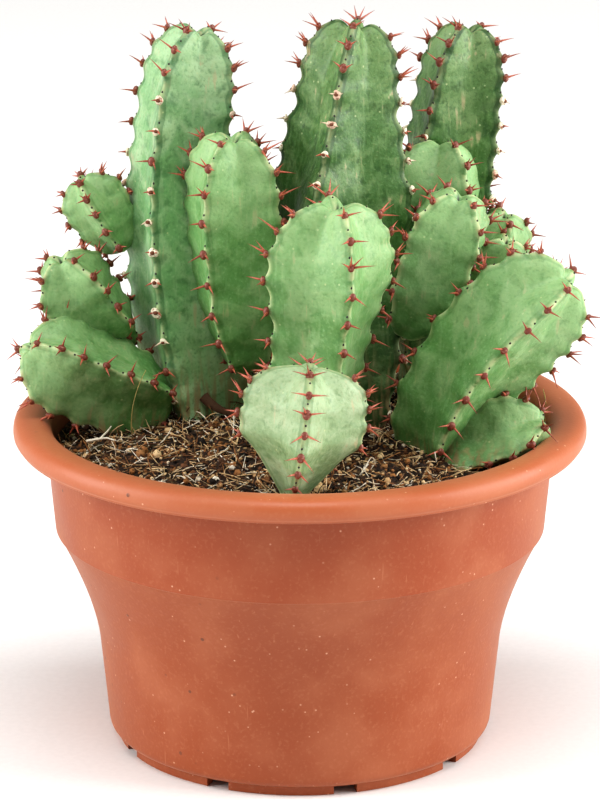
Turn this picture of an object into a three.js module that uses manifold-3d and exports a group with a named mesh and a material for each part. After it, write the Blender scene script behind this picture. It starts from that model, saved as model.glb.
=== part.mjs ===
// A clump-forming euphorbia in a round plastic nursery pot: a pot, its soil and fifteen ribbed stems.
// Millimetres, +Z up. The origin is the middle of the circle that the pot stands on, and the front is -Y.
import * as THREE from "three";
import { mergeVertices } from "three/addons/utils/BufferGeometryUtils.js";
import Module from "manifold-3d";

const wasm = await Module();
wasm.setup();

// The pot: radii are of its outer side, and heights are above the surface that it stands on.
const POT_HEIGHT = 101;
const NECK_RADIUS = 76; // the wall where it meets the lip
const BAND_TAPER = 2.6; // the upper band narrows by this much down to the shoulder
const SHOULDER_HEIGHT = 66;
const SHOULDER_STEP = 0.6; // below the shoulder the wall steps in by this much
const WAIST_RADIUS = 60.4; // the flare's lower end
const WAIST_HEIGHT = 30;
const BASE_RADIUS = 58;
const BASE_CORNER = 2.8;
const FOOT_HEIGHT = 3;
const FOOT_WIDTH = 3.4;
const WALL = 2;
const LIP_OVERHANG = 9.5; // from the neck out to the rim's edge
const LIP_DEPTH = 7; // from the crest down to the lip's lower edge
const LIP_SKIRT = 1.8; // thickness of the lip's turned-down edge
const LIP_DRAFT = 0.9; // the lip's lower edge lies this much inside the rim's widest circle
const NOTCHES = 9; // in the foot, each with a drain slot in the floor behind it
const FIRST_NOTCH = 14; // degrees from the front towards the right
const NOTCH_WIDTH = 7;
const NOTCH_HEIGHT = 2.6;
const SLOT_WIDTH = 3.6;
const SLOT_LENGTH = 11;

// The soil, and how the pieces fit.
const SOIL_DROP = 10; // from the crest down to the soil's edge
const SOIL_MOUND = 6;
const ROOT_DEPTH = 12; // how far a rooted stem goes into the soil
const CLEARANCE = 0.3;

const ROUND_SIDES = 54; // of the pot and the soil, so that their flats face each other
const STEM_RINGS = 11;
const RIBS = 4;
const POINTS_PER_RIB = 4;
const RIB_DEPTH = 0.27; // of the radius, from a crest to the middle of a face
const RIB_SHARPNESS = 0.85;
const DOME_POWER = 2.2;

const POT_COLOUR = "#b9603c";
const SOIL_COLOUR = "#4a2f1f";
const OLD_GREEN = "#5f7f4c";
const GREEN = "#7d9d68";
const PALE_GREEN = "#a9bf8a";

// Each stem is a column of four ribs that ends in a blunt dome. A rooted stem stands at shares of the
// soil's radius, and a branch starts `beside` a share of its parent's axis. `reach` runs to the tip, from
// the soil's edge level or from the branch's start, and `bow` is how far the middle lies off the straight line.
// `girth` pairs a share of the length with the radius there. `facing` is the heading of one rib at half
// length, in degrees from the front towards the right, and `twist` is its turn from foot to tip.
const STEMS = [
  {
    name: "tall_left_stem", at: [-0.32, 0.28], reach: [-6, 4, 122], bow: [-10, 0, 0],
    girth: [[0, 12], [0.2, 17.5], [0.55, 16.2], [0.8, 14.8], [1, 13]],
    dome: 18, facing: -24, twist: -12, colour: OLD_GREEN,
  },
  {
    name: "tall_middle_stem", at: [0.22, 0.1], reach: [0.5, 9, 126], bow: [-4.5, 0, 0],
    girth: [[0, 12], [0.3, 20], [0.6, 21.8], [0.72, 17.5], [0.82, 14.3], [0.9, 13.3], [1, 13]],
    dome: 20, facing: -27, twist: 42, colour: OLD_GREEN,
  },
  {
    name: "tall_right_stem", at: [0.55, 0.42], reach: [11, 8, 120], bow: [-3, 0, 0],
    girth: [[0, 9], [0.35, 14.5], [0.65, 14.8], [1, 12.5]],
    dome: 18, facing: -37, twist: 10, colour: OLD_GREEN,
  },
  {
    name: "front_middle_stem", at: [-0.03, -0.34], reach: [13, -7, 83], bow: [1, 0, 0],
    girth: [[0, 9], [0.35, 13.5], [0.55, 14.5], [0.78, 18], [1, 16]],
    dome: 20, facing: 25, twist: -20, colour: GREEN,
  },
  {
    name: "left_inner_stem", parent: "tall_left_stem", share: 0.25, beside: [17, -12, -2],
    reach: [-4, -8, 75], bow: [-2, 0, 0],
    girth: [[0, 8], [0.35, 14], [0.7, 15], [1, 13]], dome: 16, facing: -30, twist: 0, colour: GREEN,
  },
  {
    name: "right_leaning_stem", at: [0.5, -0.17], reach: [42.5, -16, 59], bow: [-8, 0, 5],
    girth: [[0, 8], [0.35, 15], [0.7, 16.5], [1, 15]], dome: 17, facing: 0, twist: 0, colour: GREEN,
  },
  {
    name: "right_low_stem", parent: "right_leaning_stem", share: 0.2, beside: [-2, -7, -4],
    reach: [34, -2, 14], bow: [0, 0, -1],
    girth: [[0, 7], [0.35, 11], [0.7, 12], [1, 10]], dome: 12, facing: 10, twist: 0, colour: GREEN,
  },
  {
    name: "right_inner_stem", parent: "tall_middle_stem", share: 0.33, beside: [18, -12, 0],
    reach: [17, -4, 45], bow: [1, 0, 0],
    girth: [[0, 7], [0.4, 13], [0.7, 13.5], [1, 12]], dome: 15, facing: 40, twist: -10, colour: GREEN,
  },
  {
    name: "right_back_stem", parent: "tall_right_stem", share: 0.35, beside: [-4, -8, 0],
    reach: [5, -1, 53], bow: [0, -3, 0],
    girth: [[0, 7], [0.4, 14.5], [0.7, 15.5], [1, 14]], dome: 14, facing: 30, twist: 0, colour: GREEN,
  },
  {
    name: "right_back_offset", parent: "tall_right_stem", share: 0.38, beside: [8, -4, 0],
    reach: [12, -8, 27], bow: [1, 0, -1],
    girth: [[0, 6], [0.4, 10], [0.7, 10.5], [1, 9]], dome: 10, facing: 20, twist: 0, colour: GREEN,
  },
  {
    name: "right_small_offset", parent: "tall_right_stem", share: 0.3, beside: [8, -8, 0],
    reach: [13, -13, 32], bow: [0, 0, -1],
    girth: [[0, 5], [0.4, 8], [0.7, 8.5], [1, 8]], dome: 9, facing: 20, twist: 0, colour: GREEN,
  },
  {
    name: "left_upper_offset", parent: "tall_left_stem", share: 0.48, beside: [-16.5, 4, 0],
    reach: [-13.5, -1, 23], bow: [0, 0, 0],
    girth: [[0, 6], [0.5, 8.8], [0.75, 9.2], [1, 8]], dome: 10, facing: 0, twist: 0, colour: GREEN,
  },
  {
    name: "left_middle_stem", parent: "tall_left_stem", share: 0.31, beside: [-17, -2, -5],
    reach: [-21, -8, 30], bow: [-2, 0, -2],
    girth: [[0, 8], [0.4, 12], [0.75, 12.8], [1, 11]], dome: 13, facing: 42, twist: 0, colour: GREEN,
  },
  {
    name: "left_low_stem", parent: "tall_left_stem", share: 0.17, beside: [-8, -12, -1],
    reach: [-43.5, -12, 21.5], bow: [0, 0, -2],
    girth: [[0, 8], [0.35, 13.4], [0.75, 14], [1, 12]], dome: 13, facing: 34, twist: 0, colour: GREEN,
  },
  {
    name: "front_low_stem", at: [-0.055, -0.82], reach: [7, -4, 43], bow: [0, -2, 0],
    girth: [[0, 2], [0.3, 3.5], [0.48, 10.5], [0.645, 16.8], [1, 15.5]],
    dome: 10, facing: 0, twist: 0, colour: PALE_GREEN,
  },
];

const FRONT = new THREE.Vector3(0, -1, 0);

// ---- solids and nodes ----

function solidFrom(positions, indices) {
  return new wasm.Manifold(new wasm.Mesh({
    numProp: 3,
    vertProperties: new Float32Array(positions),
    triVerts: new Uint32Array(indices),
  }));
}

function solidOf(geometry) {
  const bare = new THREE.BufferGeometry();
  bare.setAttribute("position", geometry.getAttribute("position"));
  bare.setIndex(geometry.getIndex());
  const merged = mergeVertices(bare, 1e-4);
  return solidFrom(merged.attributes.position.array, merged.index.array);
}

function geometryOf(solid) {
  const mesh = solid.getMesh();
  const geometry = new THREE.BufferGeometry();
  geometry.setAttribute("position", new THREE.BufferAttribute(mesh.vertProperties, 3));
  geometry.setIndex(new THREE.BufferAttribute(mesh.triVerts, 1));
  geometry.computeVertexNormals();
  return geometry;
}

// The biggest of the bodies that a cut leaves.
function mainBody(solid) {
  const bodies = solid.decompose();
  return bodies.reduce((best, body) => (body.volume() > best.volume() ? body : best));
}

function nodeOf(name, solid, colour, roughness) {
  const material = new THREE.MeshStandardMaterial({ color: colour, roughness, metalness: 0 });
  const mesh = new THREE.Mesh(geometryOf(solid), material);
  mesh.name = name;
  return mesh;
}

// ---- the pot and its soil ----

const neckHeight = POT_HEIGHT - LIP_DEPTH + LIP_SKIRT;
const rimRadius = NECK_RADIUS + LIP_OVERHANG;
const shoulderRadius = NECK_RADIUS - BAND_TAPER;
const footRadius = BASE_RADIUS - BASE_CORNER;
const floorTop = FOOT_HEIGHT + WALL;
const soilEdge = POT_HEIGHT - SOIL_DROP;
const soilRadius = bandRadius(soilEdge) - WALL - CLEARANCE;

// The outer radius of the upper band at a height.
function bandRadius(height) {
  return NECK_RADIUS - (BAND_TAPER * (neckHeight - height)) / (neckHeight - SHOULDER_HEIGHT);
}

// The wall from the base's corner up to the shoulder, moved inwards by `inset`.
function wallPoints(inset) {
  const flareEnd = shoulderRadius - SHOULDER_STEP;
  const bendRadius = WAIST_RADIUS + (flareEnd - WAIST_RADIUS) * 0.1;
  const bendHeight = WAIST_HEIGHT + (SHOULDER_HEIGHT - WAIST_HEIGHT) * 0.4;
  const path = new THREE.Path();
  path.moveTo(BASE_RADIUS - inset, FOOT_HEIGHT + BASE_CORNER);
  path.lineTo(WAIST_RADIUS - inset, WAIST_HEIGHT);
  path.quadraticCurveTo(bendRadius - inset, bendHeight, flareEnd - inset, SHOULDER_HEIGHT);
  path.lineTo(shoulderRadius - inset, SHOULDER_HEIGHT + SHOULDER_STEP);
  return path.getPoints(5);
}

// The lip's upper side, from its widest circle over the crest to the neck's inner side, moved out by `grow`.
function lipTop(grow) {
  const crest = POT_HEIGHT + grow;
  const inner = NECK_RADIUS - WALL - grow;
  const path = new THREE.Path();
  path.moveTo(rimRadius + grow, POT_HEIGHT - LIP_DEPTH + LIP_SKIRT);
  path.quadraticCurveTo(rimRadius + grow, crest, NECK_RADIUS + LIP_OVERHANG / 2, crest);
  path.quadraticCurveTo(inner, crest, inner, neckHeight);
  return path.getPoints(4);
}

// The hollow underside of the lip, from the neck out to the lower edge.
function lipUnderside() {
  const ceiling = POT_HEIGHT - LIP_SKIRT - WALL;
  const lowerEdge = POT_HEIGHT - LIP_DEPTH;
  const edgeRadius = rimRadius - LIP_DRAFT;
  return [
    new THREE.Vector2(NECK_RADIUS, neckHeight),
    new THREE.Vector2(NECK_RADIUS, ceiling),
    new THREE.Vector2(edgeRadius - LIP_SKIRT, ceiling),
    new THREE.Vector2(edgeRadius - LIP_SKIRT, lowerEdge),
    new THREE.Vector2(edgeRadius, lowerEdge),
  ];
}

// A solid of revolution about Z from (radius, height) points that start and end on the axis.
function turned(points) {
  return solidOf(new THREE.LatheGeometry(points, ROUND_SIDES).rotateX(Math.PI / 2));
}

// A box that reaches across the radius at `heading`, for cutting the foot or the floor.
function radialCut(heading, radius, length, width, bottom, top) {
  const box = new THREE.BoxGeometry(width, length, top - bottom);
  box.translate(0, -radius, (top + bottom) / 2);
  return solidOf(box.rotateZ(THREE.MathUtils.degToRad(heading)));
}

function potSolid() {
  const floorRadius = BASE_RADIUS - WALL - BASE_CORNER;
  const outline = [
    new THREE.Vector2(0, FOOT_HEIGHT),
    new THREE.Vector2(footRadius - FOOT_WIDTH, FOOT_HEIGHT),
    new THREE.Vector2(footRadius - FOOT_WIDTH, 0),
    new THREE.Vector2(footRadius, 0),
    new THREE.Vector2(footRadius, FOOT_HEIGHT),
    ...wallPoints(0),
    ...lipUnderside(),
    ...lipTop(0),
    ...wallPoints(WALL).reverse(),
    new THREE.Vector2(floorRadius, floorTop),
    new THREE.Vector2(0, floorTop),
  ];
  let pot = turned(outline);
  const slotRadius = footRadius - FOOT_WIDTH - SLOT_LENGTH / 2 - WALL;
  for (let i = 0; i < NOTCHES; i += 1) {
    const heading = FIRST_NOTCH + (360 / NOTCHES) * i;
    pot = pot.subtract(radialCut(heading, footRadius, FOOT_WIDTH * 3, NOTCH_WIDTH, -1, NOTCH_HEIGHT));
    pot = pot.subtract(radialCut(heading, slotRadius, SLOT_LENGTH, SLOT_WIDTH, 1, floorTop + 1));
  }
  return pot;
}

// The room that the pot's wall and lip take, with the clearance that the stems keep to them.
function potRoom() {
  const outer = rimRadius + CLEARANCE;
  const inside = wallPoints(WALL + CLEARANCE).reverse();
  const start = new THREE.Vector2(outer, 0);
  return turned([start, ...lipTop(CLEARANCE), ...inside, new THREE.Vector2(inside.at(-1).x, 0), start]);
}

function soilSolid() {
  const inset = WALL + CLEARANCE;
  const top = new THREE.Path().moveTo(soilRadius, soilEdge);
  top.bezierCurveTo(soilRadius * 0.8, soilEdge, soilRadius * 0.6, soilEdge + SOIL_MOUND, 0, soilEdge + SOIL_MOUND);
  const outline = [
    new THREE.Vector2(0, floorTop + CLEARANCE),
    new THREE.Vector2(BASE_RADIUS - inset - BASE_CORNER, floorTop + CLEARANCE),
    ...wallPoints(inset),
    ...top.getPoints(6),
  ];
  return turned(outline);
}

// ---- the stems ----

// Foot, tip and axis of a stem; a branch hangs on the stem that it is named after.
function placed(stem, parents) {
  const foot = new THREE.Vector3();
  const tip = new THREE.Vector3(...stem.reach);
  if (stem.parent) {
    foot.set(...stem.beside).add(axisPoint(parents.get(stem.parent), stem.share));
    tip.add(foot);
  } else {
    foot.set(stem.at[0] * soilRadius, stem.at[1] * soilRadius, soilEdge);
    tip.add(foot);
    foot.z -= ROOT_DEPTH;
  }
  return { ...stem, foot, tip, length: foot.distanceTo(tip), bowVector: new THREE.Vector3(...stem.bow) };
}

function axisPoint(stem, share) {
  const point = stem.foot.clone().lerp(stem.tip, share);
  return point.addScaledVector(stem.bowVector, 4 * share * (1 - share));
}

// Unit vectors across the stem: `front` points to the viewer's side and `right` to its right.
function axisFrame(stem, share) {
  const along = stem.tip.clone().sub(stem.foot).addScaledVector(stem.bowVector, 4 - 8 * share).normalize();
  const front = FRONT.clone().addScaledVector(along, -FRONT.dot(along)).normalize();
  const right = along.clone().cross(front);
  return { along, front, right };
}

function smoothBetween(pairs, share) {
  const next = pairs.findIndex(([at]) => at >= share);
  if (next < 1) return pairs.at(next)[1];
  const [startAt, start] = pairs[next - 1];
  const [endAt, end] = pairs[next];
  return THREE.MathUtils.lerp(start, end, THREE.MathUtils.smoothstep(share, startAt, endAt));
}

// The radius of the rib crests: the girth, closed by a dome at the tip and a short one at the foot.
function crestRadius(stem, share) {
  const fromTip = Math.max(0, 1 - ((1 - share) * stem.length) / stem.dome);
  const fromFoot = Math.max(0, 1 - (share * stem.length) / stem.girth[0][1]);
  const closing = (gap) => (1 - gap ** DOME_POWER) ** (1 / DOME_POWER);
  return smoothBetween(stem.girth, share) * closing(fromTip) * closing(fromFoot);
}

// A stem's solid, with its whole surface moved outwards by `grow`.
function stemSolid(stem, grow) {
  const sides = RIBS * POINTS_PER_RIB;
  const positions = [];
  const indices = [];
  const add = (point) => positions.push(point.x, point.y, point.z);
  add(stem.foot.clone().addScaledVector(axisFrame(stem, 0).along, -grow));
  for (let ring = 1; ring <= STEM_RINGS; ring += 1) {
    const share = (1 - Math.cos((Math.PI * ring) / (STEM_RINGS + 1))) / 2;
    const { front, right } = axisFrame(stem, share);
    const turn = THREE.MathUtils.degToRad(stem.facing + stem.twist * (share - 0.5));
    for (let side = 0; side < sides; side += 1) {
      const angle = (2 * Math.PI * side) / sides;
      const dip = RIB_DEPTH * Math.abs(Math.sin((angle * RIBS) / 2)) ** RIB_SHARPNESS;
      const radius = crestRadius(stem, share) * (1 - dip) + grow;
      const point = axisPoint(stem, share).addScaledVector(front, radius * Math.cos(angle + turn));
      add(point.addScaledVector(right, radius * Math.sin(angle + turn)));
    }
  }
  add(stem.tip.clone().addScaledVector(axisFrame(stem, 1).along, grow));
  const last = STEM_RINGS * sides + 1;
  for (let side = 0; side < sides; side += 1) {
    const next = (side + 1) % sides;
    indices.push(0, 1 + next, 1 + side);
    for (let ring = 0; ring < STEM_RINGS - 1; ring += 1) {
      const low = 1 + ring * sides;
      const high = low + sides;
      indices.push(low + side, low + next, high + next, low + side, high + next, high + side);
    }
    indices.push(last, last - sides + side, last - sides + next);
  }
  return solidFrom(positions, indices);
}

// ---- the whole object ----

const plant = new THREE.Group();
plant.name = "potted_euphorbia";

const pot = potSolid();
plant.add(nodeOf("pot", pot, POT_COLOUR, 0.55));

const stems = new Map();
for (const stem of STEMS) stems.set(stem.name, placed(stem, stems));

let soil = soilSolid();
const taken = [potRoom()];
for (const stem of stems.values()) {
  let solid = stemSolid(stem, 0);
  for (const neighbour of taken) solid = solid.subtract(neighbour);
  plant.add(nodeOf(stem.name, mainBody(solid), stem.colour, 0.6));
  const room = stemSolid(stem, CLEARANCE);
  taken.push(room);
  soil = soil.subtract(room);
}
plant.add(nodeOf("soil", mainBody(soil), SOIL_COLOUR, 0.95));

export default plant;
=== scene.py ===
"""A clump-forming euphorbia in a round plastic nursery pot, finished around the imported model.

Every length in a dataclass is in millimetres and meshes are made in metres. The front is -Y, and a
heading is in degrees from the front towards the right.
"""

import logging
import math
from dataclasses import dataclass, field
from enum import Enum
from typing import Any, Sequence

import bmesh
import bpy
import numpy as np
from mathutils import Matrix, Vector, noise


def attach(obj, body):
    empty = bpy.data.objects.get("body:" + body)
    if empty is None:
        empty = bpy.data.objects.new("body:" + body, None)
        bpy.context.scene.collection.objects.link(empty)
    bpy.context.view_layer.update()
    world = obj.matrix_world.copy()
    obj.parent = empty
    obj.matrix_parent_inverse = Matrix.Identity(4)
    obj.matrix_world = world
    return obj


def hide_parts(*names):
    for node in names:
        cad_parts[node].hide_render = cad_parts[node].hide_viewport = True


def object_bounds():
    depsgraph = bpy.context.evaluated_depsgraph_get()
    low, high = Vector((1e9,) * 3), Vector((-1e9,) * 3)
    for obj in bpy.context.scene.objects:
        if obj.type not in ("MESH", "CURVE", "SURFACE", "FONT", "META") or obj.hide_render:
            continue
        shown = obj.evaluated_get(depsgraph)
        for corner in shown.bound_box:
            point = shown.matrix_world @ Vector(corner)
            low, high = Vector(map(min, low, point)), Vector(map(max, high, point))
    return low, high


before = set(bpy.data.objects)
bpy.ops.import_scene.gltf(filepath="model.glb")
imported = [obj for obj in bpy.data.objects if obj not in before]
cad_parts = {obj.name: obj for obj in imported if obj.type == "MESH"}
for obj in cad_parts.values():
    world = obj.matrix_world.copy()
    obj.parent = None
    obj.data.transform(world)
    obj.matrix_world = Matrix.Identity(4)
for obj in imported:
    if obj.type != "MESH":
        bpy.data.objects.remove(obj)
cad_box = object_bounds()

MM = 0.001
SEED = 768
EYE_TONE, SHIELD_TONE, BLEACHED_TONE = 0.0, 0.3, 0.85  # what a spine's finish reads
HEART_TONE = 2.0  # the brown heart of a cork cushion
MIX_A, MIX_B, MIX_RESULT = 6, 7, 2  # the colour sockets of a Mix node
VALUE, LOW, HIGH, LEAST, MOST = range(5)  # the sockets of a Map Range node
EASED = {"interpolation_type": "SMOOTHSTEP"}  # a Map Range that starts and ends gently
FRONT = np.array([0.0, -1.0, 0.0])
UP = np.array([0.0, 0.0, 1.0])
Array = np.ndarray
Points = Sequence[tuple[float, float]]
log = logging.getLogger("euphorbia")


# ---- colours, nodes and pieces ----


def linear(code: str) -> tuple[float, float, float, float]:
    """Turns an sRGB hex colour to the linear values that a shader takes.

    Args:
        code: a colour such as "#c4714d".

    Returns:
        Linear red, green and blue, and an opacity of 1.
    """
    levels = [int(code[i : i + 2], 16) / 255 for i in (1, 3, 5)]
    red, green, blue = (v / 12.92 if v <= 0.04045 else ((v + 0.055) / 1.055) ** 2.4 for v in levels)
    return red, green, blue, 1.0


class Graph:
    """The nodes of one material."""

    def __init__(self, name: str) -> None:
        """Starts an empty material.

        Args:
            name: the material's name.
        """
        self.material = bpy.data.materials.new(name)
        self.material.use_nodes = True
        self.material.node_tree.nodes.clear()

    def add(self, kind: str, inputs: dict[Any, Any], out: int | str = 0, **settings: Any) -> Any:
        """Adds a node, sets its properties and fills its inputs.

        Args:
            kind: the node's type, without its ShaderNode prefix.
            inputs: input name or number to a value, a hex colour, or the socket that feeds it.
            out: the output that is wanted.
            **settings: properties of the node.

        Returns:
            The output socket, or None for a node that has none.
        """
        tree = self.material.node_tree
        node = tree.nodes.new("ShaderNode" + kind)
        for name, value in settings.items():
            setattr(node, name, value)
        for key, value in inputs.items():
            if isinstance(value, bpy.types.NodeSocket):
                tree.links.new(value, node.inputs[key])
            else:
                node.inputs[key].default_value = linear(value) if isinstance(value, str) else value
        return node.outputs[out] if node.outputs else None

    def paint(self, base: Any, *layers: tuple[Any, Any, float, float, Any]) -> Any:
        """Lays colours over a base, each eased in between two levels of a value.

        Args:
            base: a colour socket or hex colour.
            *layers: a colour, the value that it follows, the level that gives none of it, the level that
                gives the most of it, and that most, as a number or a socket.

        Returns:
            The painted colour's socket.
        """
        for colour, value, low, high, most in layers:
            share = self.add("MapRange", {VALUE: value, LOW: low, HIGH: high, MOST: most}, **EASED)
            inputs = {0: share, MIX_A: base, MIX_B: colour}
            base = self.add("Mix", inputs, MIX_RESULT, data_type="RGBA")
        return base

    def finish(
        self, colour: Any, roughness: Any, height: Any, depth: float, **constants: Any
    ) -> bpy.types.Material:
        """Ends the material with its shader and its bump.

        Args:
            colour: the colour's socket.
            roughness: a socket or number.
            height: the bump's height socket.
            depth: how deep the bump is at a height of 1, in millimetres.
            **constants: numbers for the shader's own sockets, with _ for a space.

        Returns:
            The material.
        """
        normal = self.add("Bump", {"Strength": 1.0, "Distance": depth * MM, "Height": height})
        inputs = {"Base Color": colour, "Roughness": roughness, "Normal": normal}
        inputs.update({key.replace("_", " "): value for key, value in constants.items()})
        shader = self.add("BsdfPrincipled", inputs)
        self.add("OutputMaterial", {"Surface": shader})
        return self.material


def place(mesh: bpy.types.Mesh, name: str, finish: bpy.types.Material, slot: str, *replaced: str) -> None:
    """Puts a mesh in the scene as a piece that rides on the plant's one body.

    Args:
        mesh: the mesh, already in its place.
        name: the piece's name.
        finish: its material.
        slot: the name of a material slot; it is not used.
        *replaced: the nodes that it stands for.
    """
    piece = bpy.data.objects.new(name, mesh)
    bpy.context.scene.collection.objects.link(piece)
    mesh.materials.append(finish)
    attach(piece, "root")
    if replaced:
        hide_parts(*replaced)
    log.info("%s: %d faces", name, len(mesh.polygons))


def smooth_mesh(bm: bmesh.types.BMesh, name: str, sharp: float = 40.0) -> bpy.types.Mesh:
    """Turns a bmesh to a smooth-shaded mesh and frees it.

    Args:
        bm: the bmesh, in metres.
        name: the mesh's name.
        sharp: edges that turn by more degrees than this stay crisp.

    Returns:
        The mesh.
    """
    mesh = bpy.data.meshes.new(name)
    bm.to_mesh(mesh)
    bm.free()
    mesh.shade_smooth()
    mesh.set_sharp_from_angle(angle=math.radians(sharp))
    return mesh


def add_values(mesh: bpy.types.Mesh, **values: Array) -> None:
    """Stores numbers at a mesh's points, each under its own name, for its material to read.

    Args:
        mesh: the mesh.
        **values: for each name, one number a point.
    """
    for name, numbers in values.items():
        store = mesh.attributes.new(name, "FLOAT", "POINT")
        store.data.foreach_set("value", np.asarray(numbers, np.float32))


def turned(outline: Points, steps: int) -> bmesh.types.BMesh:
    """Spins an outline that starts and ends on the axis into a closed solid.

    Args:
        outline: (radius, height) points.
        steps: steps of the full turn.

    Returns:
        The solid in metres, with its faces outwards.
    """
    bm = bmesh.new()
    verts = [bm.verts.new((radius * MM, 0.0, height * MM)) for radius, height in outline]
    edges = [bm.edges.new(pair) for pair in zip(verts, verts[1:])]
    bmesh.ops.spin(bm, geom=verts + edges, axis=(0, 0, 1), angle=math.tau, steps=steps, use_merge=True)
    bmesh.ops.remove_doubles(bm, verts=bm.verts, dist=0.0005 * MM)
    bmesh.ops.recalc_face_normals(bm, faces=bm.faces)
    return bm


def arc(middle: tuple[float, float], radius: float, start: float, end: float, count: int) -> list:
    """Points of an arc in an outline's plane.

    Args:
        middle: its (radius, height) centre.
        radius: its own radius.
        start: the first angle in degrees, from outwards towards up.
        end: the last angle.
        count: number of points.

    Returns:
        (radius, height) points.
    """
    angles = np.radians(np.linspace(start, end, count))
    return [(middle[0] + radius * math.cos(a), middle[1] + radius * math.sin(a)) for a in angles]


def curve(start: Sequence[float], pull: Sequence[float], end: Sequence[float], count: int) -> list:
    """Points of a quadratic curve.

    Args:
        start: its first point.
        pull: the control point.
        end: its last point.
        count: number of points.

    Returns:
        A list of points.
    """
    first, middle, last = (np.array(p, float) for p in (start, pull, end))
    shares = np.linspace(0, 1, count)[:, None]
    points = (1 - shares) ** 2 * first + 2 * (1 - shares) * shares * middle + shares**2 * last
    return [tuple(p) for p in points]


def ripple(points: Array, size: float, octaves: int, seed: float) -> Array:
    """Smooth noise from about -1 to 1 at each point.

    Args:
        points: places in metres.
        size: width of a blob in millimetres.
        octaves: how many finer layers are added.
        seed: an offset that gives each use its own pattern.

    Returns:
        One number for each point.
    """
    shift = Vector((seed * 7.31, seed * 3.17, seed * 5.03))
    scale = 1 / (size * MM)
    return np.array([noise.fractal(Vector(p) * scale + shift, 1.0, 2.0, octaves) for p in points])


def axes(direction: Array, across: Array, width: float, length: float, flatness: float = 1.0) -> Array:
    """A matrix that stands a shape along a direction.

    Args:
        direction: where the shape's +Z goes.
        across: roughly where its +X goes.
        width: its scale along X.
        length: its scale along Z.
        flatness: its scale along Y, as a share of the width.

    Returns:
        The three scaled axes, as columns.
    """
    up = direction / np.linalg.norm(direction)
    side = across - up * (across @ up)
    side = side / np.linalg.norm(side)
    return np.column_stack([side * width, np.cross(up, side) * width * flatness, up * length])


class Stamp(Enum):
    """The small closed shapes that are copied many times."""

    GRAIN = "grain"
    PRICKLE = "prickle"
    PAD = "pad"
    FIBRE = "fibre"

    def shape(self) -> bmesh.types.BMesh:
        """Builds the shape about the origin: a prickle and a fibre run from z = 0 to z = 1.

        Returns:
            A closed mesh of triangles.
        """
        bm = bmesh.new()
        if self is Stamp.GRAIN:
            bmesh.ops.create_icosphere(bm, subdivisions=1, radius=1.0)
        elif self is Stamp.PAD:
            bmesh.ops.create_uvsphere(bm, u_segments=8, v_segments=5, radius=1.0)
        else:
            tip = 0.05 if self is Stamp.PRICKLE else 0.6
            sides = 6 if self is Stamp.PRICKLE else 3
            bmesh.ops.create_cone(bm, cap_ends=True, segments=sides, radius1=1.0, radius2=tip, depth=1.0)
            bmesh.ops.translate(bm, verts=bm.verts, vec=(0, 0, 0.5))
            upright = [e for e in bm.edges if abs(e.verts[0].co.z - e.verts[1].co.z) > 0.5]
            bmesh.ops.subdivide_edges(bm, edges=upright, cuts=2)
        bmesh.ops.triangulate(bm, faces=bm.faces)
        return bm


class Stampings:
    """Copies of stamps gathered into one mesh, each with a tone of its own."""

    def __init__(self) -> None:
        """Starts with no copies."""
        self.shapes: dict[Stamp, tuple[Array, Array]] = {}
        self.parts: list[tuple[Array, Array, Array, Array]] = []
        self.count = 0

    def add(self, stamp: Stamp, matrix: Array, origin: Array, tone: float, bend: float = 0.0) -> None:
        """Adds one copy.

        Args:
            stamp: the shape.
            matrix: its scaled axes, as columns, in metres.
            origin: where its own origin goes.
            tone: a number that its material reads.
            bend: how far its middle leans along its own X, as a share of its width.
        """
        if stamp not in self.shapes:
            bm = stamp.shape()
            verts = np.array([v.co[:] for v in bm.verts])
            self.shapes[stamp] = verts, np.array([[v.index for v in f.verts] for f in bm.faces])
            bm.free()
        verts, faces = self.shapes[stamp]
        bent = verts.copy()
        bent[:, 0] += bend * 4 * verts[:, 2] * (1 - verts[:, 2])
        placed = bent @ matrix.T + origin
        self.parts.append((placed, faces + self.count, np.full(len(verts), tone), verts[:, 2]))
        self.count += len(verts)

    def mesh(self, name: str) -> bpy.types.Mesh:
        """Joins the copies into one mesh.

        Args:
            name: the mesh's name.

        Returns:
            A mesh whose points hold `tone` and `run`, from 0 at a copy's root to 1 at its end.
        """
        verts, faces, tones, runs = (np.concatenate(part) for part in zip(*self.parts))
        mesh = bpy.data.meshes.new(name)
        mesh.from_pydata(verts.tolist(), [], faces.tolist())
        add_values(mesh, tone=tones, run=runs)
        mesh.shade_smooth()
        return mesh


# ---- finishes ----


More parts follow.
